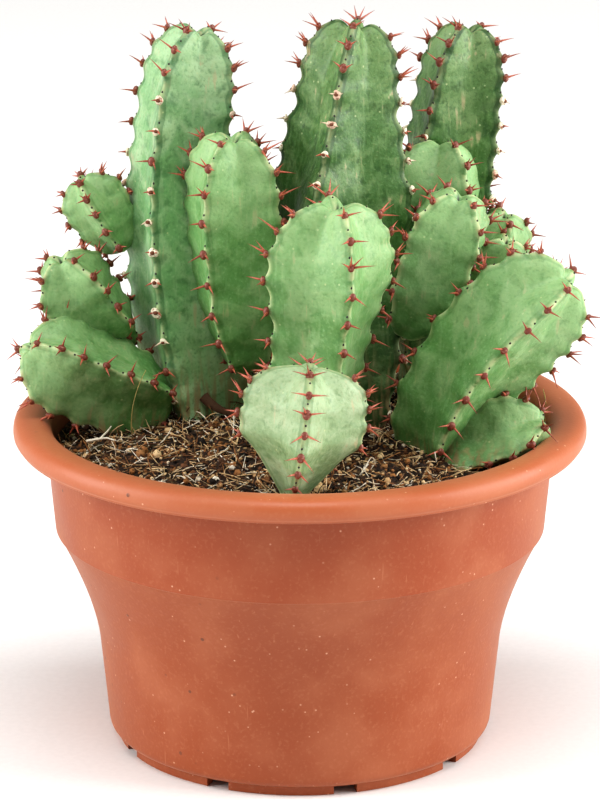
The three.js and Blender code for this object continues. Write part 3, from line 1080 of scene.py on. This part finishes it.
@dataclass
class Clump:
    """All the stems of the plant, with their spines."""

    soil: PottingSoil
    stems: list[Stem] = field(default_factory=list)
    root: float = 12.0

    def rooted(self, name: str, age: Age, at: tuple[float, float], **sizes: Any) -> Stem:
        """Adds a stem that stands in the soil.

        Args:
            name: its node's name.
            age: its skin's age.
            at: its place, as shares of the soil's radius.
            **sizes: its other fields, with `reach` counted from the soil's edge level.

        Returns:
            The stem.
        """
        foot = np.array([at[0] * self.soil.radius, at[1] * self.soil.radius, self.soil.edge])
        reach = np.array(sizes.pop("reach"), float) + (0, 0, self.root)
        return self.keep(Stem(name, age, foot - (0, 0, self.root), tuple(reach), **sizes))

    def branch(
        self, name: str, age: Age, parent: Stem, share: float, beside: Sequence[float], **sizes: Any
    ) -> Stem:
        """Adds a stem that starts beside a share of its parent's axis."""
        return self.keep(Stem(name, age, parent.axis(share) + np.array(beside, float), **sizes))

    def keep(self, stem: Stem) -> Stem:
        """Keeps a stem and gives it back."""
        self.stems.append(stem)
        return stem

    def covers(self, places: Array, part: float, but: Stem | None = None) -> Array:
        """Whether any stem covers each place.

        Args:
            places: points in metres.
            part: the share of a stem's radius that counts.
            but: a stem that is passed over.

        Returns:
            True for each place that is covered.
        """
        inside = np.zeros(len(places), bool)
        for stem in self.stems:
            if stem is not but:
                inside |= stem.covers(places, part)
        return inside

    def arm(self, stem: Stem, rng: np.random.Generator) -> tuple[Stampings, Stampings]:
        """Sets the spines and the cork of one stem.

        Args:
            stem: the stem.
            rng: the random source.

        Returns:
            The spines with their shields, and the cork pads.
        """
        spines, pads = Stampings(), Stampings()
        for rib in range(stem.ribs):
            for share in stem.nodes(rib):
                angle = rib * math.tau / stem.ribs + rng.normal(0, 0.02)
                spot = stem.skin_point(share, angle)
                if self.covers(spot[None], 0.97, stem)[0] or spot[2] < (self.soil.edge + 4) * MM:
                    continue
                along = stem.frame(share)[0]
                out = stem.outward(share, angle)
                old = stem.age in (Age.OLD, Age.GROWN) and share < 0.86 and rng.random() < 0.85
                if old:
                    self.cork(pads, spot, out, along, rng)
                self.prickles(spines, spot, out, along, stem, old, share, rng)
                self.eye(spines, stem, share, angle)
        return spines, pads

    def cork(
        self, pads: Stampings, spot: Array, out: Array, along: Array, rng: np.random.Generator
    ) -> None:
        """Sets an old spine pair's cork: a felted cushion of four lobes with a brown heart.

        Args:
            pads: where the cushion goes.
            spot: its place on the rib, in metres.
            out: the way out of the stem.
            along: the stem's own direction.
            rng: the random source.
        """
        size = rng.uniform(1.0, 1.5) * MM
        side, tone = np.cross(along, out), rng.random()
        for _ in range(4):
            shift = side * rng.normal(0, 0.3) + along * rng.normal(0, 0.3)
            part = size * rng.uniform(0.55, 0.95)
            middle = spot + shift * size + out * 0.1 * MM
            pads.add(Stamp.PAD, axes(along, out, 0.6 * part, part, 1.7), middle, tone)
        heart = axes(along, out, 0.5 * size, 0.45 * size, 1.2)
        pads.add(Stamp.PAD, heart, spot + out * 0.4 * size, HEART_TONE)

    def prickles(
        self,
        spines: Stampings,
        spot: Array,
        out: Array,
        along: Array,
        stem: Stem,
        old: bool,
        share: float,
        rng: np.random.Generator,
    ) -> None:
        """Sets a horny shield with its spreading spines, a pair low down and up to four by the tip.

        Args:
            spines: where they go.
            spot: their place on the rib, in metres.
            out: the way out of the stem.
            along: the stem's own direction.
            stem: the stem.
            old: whether cork has taken the shield's place.
            share: the spot's share of the stem's length.
            rng: the random source.
        """
        side = np.cross(along, out)
        young = (1 - share) * stem.length < 1.1 * stem.dome
        if old and rng.random() < 0.4:
            tone = BLEACHED_TONE
        else:
            tone = float(np.clip(rng.normal(0.5, 0.06), 0.42, 0.62))
        length = stem.spine * rng.uniform(0.75, 1.25) * (0.6 if old else 1.15 if young else 1.0) * MM
        if not old:
            size = rng.uniform(0.85, 1.1) * MM
            shield = axes(along, out, 0.85 * size, 1.45 * size, 1.35)
            spines.add(Stamp.PAD, shield, spot + out * 0.25 * MM, SHIELD_TONE)
        count = int(rng.integers(2, 5)) if young else 2
        for index in range(count):
            spread = (-1, 1, -0.4, 0.5)[index] * rng.uniform(0.7, 1.1)
            rise = 0.45 if young else -0.22
            lean = out * 0.9 + side * spread + along * rng.normal(rise if index < 2 else 1.1, 0.2)
            root = spot + side * spread * 0.55 * MM
            reach = length * (1 if index < 2 else 0.8)
            spines.add(Stamp.PRICKLE, axes(lean, along, 0.42 * MM, reach), root, tone, 0.2)

    def eye(self, spines: Stampings, stem: Stem, share: float, angle: float) -> None:
        """Sets the small black scar just above a shield.

        Args:
            spines: where it goes.
            stem: the stem.
            share: the shield's share of the stem's length.
            angle: the shield's angle from the first rib.
        """
        high = min(share + 2.3 / stem.length, 0.995)
        along, out = stem.frame(high)[0], stem.outward(high, angle)
        scar = axes(along, out, 0.22 * MM, 0.4 * MM, 1.4)
        spines.add(Stamp.PAD, scar, stem.skin_point(high, angle), EYE_TONE)

    def build(self) -> None:
        """Builds and dresses every stem."""
        skins = {age: WaxySkin(age).material() for age in Age}
        horn, cork = SpineHorn().material(), CorkPad().material()
        slots = {Age.OLD: "old_stem", Age.GROWN: "old_stem", Age.YOUNG: "young_stem", Age.PALE: "pale_stem"}
        for index, stem in enumerate(self.stems):
            place(stem.build(), f"{stem.name}_skin", skins[stem.age], slots[stem.age], stem.name)
            spines, pads = self.arm(stem, np.random.default_rng(SEED + index))
            place(spines.mesh(f"{stem.name}_spines"), f"{stem.name}_spines", horn, "spine")
            if pads.count:
                place(pads.mesh(f"{stem.name}_cork"), f"{stem.name}_cork", cork, "spine")


def grow(soil: PottingSoil) -> Clump:
    """Lays out the plant's stems.

    Args:
        soil: the soil that they stand in.

    Returns:
        The clump, not yet built.
    """
    clump = Clump(soil)
    left = clump.rooted(
        "tall_left_stem", Age.GROWN, (-0.32, 0.28), reach=(-6, 4, 122), bow=(-10, 0, 0),
        girth=((0, 12), (0.2, 17.5), (0.55, 16.2), (0.8, 14.8), (1, 13)),
        dome=18, facing=-24, twist=-12, spacing=8.8, spine=4.6,
    )
    middle = clump.rooted(
        "tall_middle_stem", Age.OLD, (0.22, 0.1), reach=(0.5, 9, 126), bow=(-4.5, 0, 0),
        girth=((0, 12), (0.3, 20), (0.6, 21.8), (0.72, 17.5), (0.82, 14.3), (0.9, 13.3), (1, 13)),
        dome=20, facing=-27, twist=42, spacing=8.6, spine=4.8,
    )
    right = clump.rooted(
        "tall_right_stem", Age.OLD, (0.55, 0.42), reach=(11, 8, 120), bow=(-3, 0, 0),
        girth=((0, 9), (0.35, 14.5), (0.65, 14.8), (1, 12.5)),
        dome=18, facing=-37, twist=10, spacing=7.6, spine=4.2,
    )
    clump.rooted(
        "front_middle_stem", Age.YOUNG, (-0.03, -0.34), reach=(13, -7, 83), bow=(1, 0, 0),
        girth=((0, 9), (0.35, 13.5), (0.55, 14.5), (0.78, 18), (1, 16)),
        dome=20, facing=25, twist=-20, spacing=9.2, spine=5.2,
    )
    clump.branch(
        "left_inner_stem", Age.YOUNG, left, 0.25, (17, -12, -2), reach=(-4, -8, 75), bow=(-2, 0, 0),
        girth=((0, 8), (0.35, 14), (0.7, 15), (1, 13)),
        dome=16, facing=-30, twist=0, spacing=9.6, spine=4.8,
    )
    leaning = clump.rooted(
        "right_leaning_stem", Age.YOUNG, (0.5, -0.17), reach=(42.5, -16, 59), bow=(-8, 0, 5),
        girth=((0, 8), (0.35, 15), (0.7, 16.5), (1, 15)),
        dome=17, facing=0, twist=0, spacing=9.8, spine=4.8,
    )
    clump.branch(
        "right_low_stem", Age.YOUNG, leaning, 0.2, (-2, -7, -4), reach=(34, -2, 14), bow=(0, 0, -1),
        girth=((0, 7), (0.35, 11), (0.7, 12), (1, 10)),
        dome=12, facing=10, twist=0, spacing=8.0, spine=4.4,
    )
    clump.branch(
        "right_inner_stem", Age.YOUNG, middle, 0.33, (18, -12, 0), reach=(17, -4, 45), bow=(1, 0, 0),
        girth=((0, 7), (0.4, 13), (0.7, 13.5), (1, 12)),
        dome=15, facing=40, twist=-10, spacing=9.4, spine=4.8,
    )
    clump.branch(
        "right_back_stem", Age.YOUNG, right, 0.35, (-4, -8, 0), reach=(5, -1, 53), bow=(0, -3, 0),
        girth=((0, 7), (0.4, 14.5), (0.7, 15.5), (1, 14)),
        dome=14, facing=30, twist=0, spacing=8.4, spine=4.2,
    )
    clump.branch(
        "right_back_offset", Age.YOUNG, right, 0.38, (8, -4, 0), reach=(12, -8, 27), bow=(1, 0, -1),
        girth=((0, 6), (0.4, 10), (0.7, 10.5), (1, 9)),
        dome=10, facing=20, twist=0, spacing=6.4, spine=3.6,
    )
    clump.branch(
        "right_small_offset", Age.YOUNG, right, 0.3, (8, -8, 0), reach=(13, -13, 32), bow=(0, 0, -1),
        girth=((0, 5), (0.4, 8), (0.7, 8.5), (1, 8)),
        dome=9, facing=20, twist=0, spacing=6.0, spine=3.4,
    )
    clump.branch(
        "left_upper_offset", Age.YOUNG, left, 0.48, (-16.5, 4, 0), reach=(-13.5, -1, 23), bow=(0, 0, 0),
        girth=((0, 6), (0.5, 8.8), (0.75, 9.2), (1, 8)),
        dome=10, facing=0, twist=0, spacing=7.0, spine=3.2,
    )
    clump.branch(
        "left_middle_stem", Age.YOUNG, left, 0.31, (-17, -2, -5), reach=(-21, -8, 30), bow=(-2, 0, -2),
        girth=((0, 8), (0.4, 12), (0.75, 12.8), (1, 11)),
        dome=13, facing=42, twist=0, spacing=8.2, spine=3.8,
    )
    clump.branch(
        "left_low_stem", Age.YOUNG, left, 0.17, (-8, -12, -1), reach=(-43.5, -12, 21.5), bow=(0, 0, -2),
        girth=((0, 8), (0.35, 13.4), (0.75, 14), (1, 12)),
        dome=13, facing=34, twist=0, spacing=8.6, spine=4.2,
    )
    clump.rooted(
        "front_low_stem", Age.PALE, (-0.055, -0.82), reach=(7, -4, 43), bow=(0, -2, 0),
        girth=((0, 2), (0.3, 3.5), (0.645, 16.6), (1, 15.5)),
        dome=10, facing=0, twist=0, spacing=6.2, spine=5.0, straight=True, bare=0.6,
    )
    return clump


# ---- dry litter ----


@dataclass
class Litter:
    """The dry bits that lie about the plant: twig, roots, bark flaps, straw and a grass blade."""

    sides: int = 7

    def strand(
        self, path: Points, width: float, flatness: float = 1.0, taper: float = 0.4
    ) -> bmesh.types.BMesh:
        """Extrudes a round section along a path.

        Args:
            path: points to pass through, in millimetres.
            width: half its thickness at the start.
            flatness: its depth as a share of its width.
            taper: the end's width as a share of the start's.

        Returns:
            A closed strand in metres.
        """
        spots = np.array(path, float) * MM
        bm = bmesh.new()
        ring = bmesh.ops.create_circle(bm, cap_ends=True, segments=self.sides, radius=1.0)["verts"]
        flat = [v.co.copy() for v in ring]
        for index, spot in enumerate(spots):
            if index:
                face = [f for f in bm.faces if set(f.verts) == set(ring)]
                grown = bmesh.ops.extrude_face_region(bm, geom=face)["geom"]
                bmesh.ops.delete(bm, geom=face if index > 1 else [], context="FACES_ONLY")
                order = {tuple(round(c, 9) for c in v.co): i for i, v in enumerate(ring)}
                new = [g for g in grown if isinstance(g, bmesh.types.BMVert)]
                ring = sorted(new, key=lambda v: order[tuple(round(c, 9) for c in v.co)])
            ahead = spots[min(index + 1, len(spots) - 1)] - spots[max(index - 1, 0)]
            share = index / (len(spots) - 1)
            size = width * (1 + (taper - 1) * share) * MM
            matrix = Matrix(axes(ahead, np.array([0.2, 0.5, 1.0]), size, 1.0, flatness).tolist())
            for vert, co in zip(ring, flat):
                vert.co = matrix @ Vector((co.x, co.y, 0)) + Vector(spot)
        bmesh.ops.recalc_face_normals(bm, faces=bm.faces)
        return bm

    def lay(self, name: str, finish: bpy.types.Material, tone: float, *strands: bmesh.types.BMesh) -> None:
        """Joins strands into one piece and places it.

        Args:
            name: the piece's name.
            finish: its material.
            tone: the number that the material reads.
            *strands: closed strands, which are freed.
        """
        whole = bmesh.new()
        for bm in strands:
            part = bpy.data.meshes.new("strand")
            bm.to_mesh(part)
            bm.free()
            whole.from_mesh(part)
            bpy.data.meshes.remove(part)
        mesh = smooth_mesh(whole, name, 60)
        add_values(mesh, tone=np.full(len(mesh.vertices), tone))
        place(mesh, name, finish, "dry_litter")

    def build(self, finish: DryLitter) -> None:
        """Builds and lays every dry bit.

        Args:
            finish: its finish.
        """
        dry = finish.material()
        twig = self.strand(((-63, -13, 95.5), (-60, -14, 96.4), (-57, -14.5, 97), (-54, -16, 96.5)), 0.55)
        fork = self.strand(((-59, -14, 96.6), (-57, -11, 98), (-56, -8, 98.6)), 0.4)
        self.lay("forked_twig", dry, 1.0, twig, fork)
        flap = curve((-29, 8, 103), (-25, 4, 99), (-17, 6, 97.5), 9)
        self.lay("bark_flap", dry, -0.5, self.strand(flap, 1.7, 0.35, 0.4))
        chip = curve((26, -12, 96.8), (28, -13, 99.2), (31, -11, 97), 7)
        self.lay("cork_chip", dry, 0.3, self.strand(chip, 1.3, 0.5))
        straws = (
            self.strand(curve((73.0, 3, 94.5), (75.0, 10, 98), (73.6, 18, 102.0), 9), 0.45, 0.5),
            self.strand(curve((70.5, 14, 95), (73.2, 8, 99), (74.0, -2, 101.2), 9), 0.35, 0.5),
            self.strand(curve((69.0, -6, 94.2), (71.2, 2, 97), (72.4, 12, 98.5), 9), 0.3, 0.6),
        )
        self.lay("dry_straw", dry, 0.5, *straws)
        blade = curve((-50, -4, 95), (-51, -5, 105), (-45.5, -8, 116), 12)
        self.lay("grass_blade", dry, 0.5, self.strand(blade, 0.45, 0.4, 0.3))


# ---- the studio ----


@dataclass(frozen=True)
class SoftBox:
    """A rectangular soft light that faces the plant."""

    place: tuple[float, float, float]
    size: tuple[float, float]
    watts: float
    tint: str = "#ffffff"

    def hang(self, name: str, aim: Vector) -> None:
        """Adds the light at its place, turned to the aim.

        Args:
            name: the light's name.
            aim: the point it faces, in metres.
        """
        lamp = bpy.data.lights.new(name, "AREA")
        lamp.shape, lamp.size, lamp.size_y = "RECTANGLE", *self.size
        lamp.energy, lamp.color = self.watts, linear(self.tint)[:3]
        light = bpy.data.objects.new(name, lamp)
        light.location = self.place
        light.rotation_euler = (aim - light.location).to_track_quat("-Z", "Y").to_euler()
        bpy.context.scene.collection.objects.link(light)


@dataclass
class Studio:
    """The camera, the pale floor and the soft light around the plant."""

    aim: float = 94.0
    distance: float = 1200.0
    elevation: float = 17.16
    lift: float = 9.8
    lens: float = 180.6
    floor: float = 6.0
    sky: float = 0.28
    boxes: tuple[SoftBox, ...] = (
        SoftBox((-2.3, -0.3, 0.9), (1.5, 2.0), 58.0),
        SoftBox((2.3, -0.2, 0.9), (1.5, 2.0), 74.0),
        SoftBox((0.0, -0.9, 2.4), (1.6, 1.4), 34.0),
    )

    def build(self) -> None:
        """Sets up the camera, the floor and the lights."""
        self.set_camera()
        self.lay_floor()
        self.light_up()

    def set_camera(self) -> None:
        """Stands the camera in front of the plant, looking down a little."""
        tilt = math.radians(self.elevation)
        out, up = Vector((0, -math.cos(tilt), math.sin(tilt))), Vector((0, math.sin(tilt), math.cos(tilt)))
        data = bpy.data.cameras.new("camera")
        data.lens, data.sensor_width, data.clip_end = self.lens, 36.0, 100.0
        camera = bpy.data.objects.new("camera", data)
        camera.location = (Vector((0, 0, self.aim)) + out * self.distance + up * self.lift) * MM
        camera.rotation_euler = (math.pi / 2 - tilt, 0, 0)
        bpy.context.scene.collection.objects.link(camera)
        bpy.context.scene.camera = camera

    def lay_floor(self) -> None:
        """Lays the pale floor that the pot stands on."""
        bm = bmesh.new()
        bmesh.ops.create_grid(bm, x_segments=1, y_segments=1, size=self.floor)
        floor = bpy.data.objects.new("floor", smooth_mesh(bm, "floor"))
        floor.data.materials.append(PaperSweep().material())
        bpy.context.scene.collection.objects.link(floor)

    def light_up(self) -> None:
        """Hangs the soft boxes and fills the room with pale light."""
        low, high = cad_box
        middle = (Vector(low) + Vector(high)) / 2
        for index, box in enumerate(self.boxes):
            box.hang(f"soft_box_{index}", middle)
        world = bpy.data.worlds.new("room")
        world.use_nodes = True
        background = world.node_tree.nodes["Background"]
        background.inputs["Color"].default_value = linear("#fbfaf8")
        background.inputs["Strength"].default_value = self.sky
        bpy.context.scene.world = world
        bpy.context.scene.view_settings.view_transform = "Standard"
        bpy.context.scene.view_settings.look = "Medium High Contrast"


def main() -> None:
    """Builds the plant in its pot and the studio around it."""
    logging.basicConfig(level=logging.INFO, format="%(name)s: %(message)s")
    Studio().build()
    NurseryPot().build(MouldedPolypropylene())
    soil = PottingSoil()
    clump = grow(soil)
    soil.build(PeatMix())
    soil.scatter(LooseCrumb(), clump)
    clump.build()
    Litter().build(DryLitter())


if __name__ == "__main__":
    main()
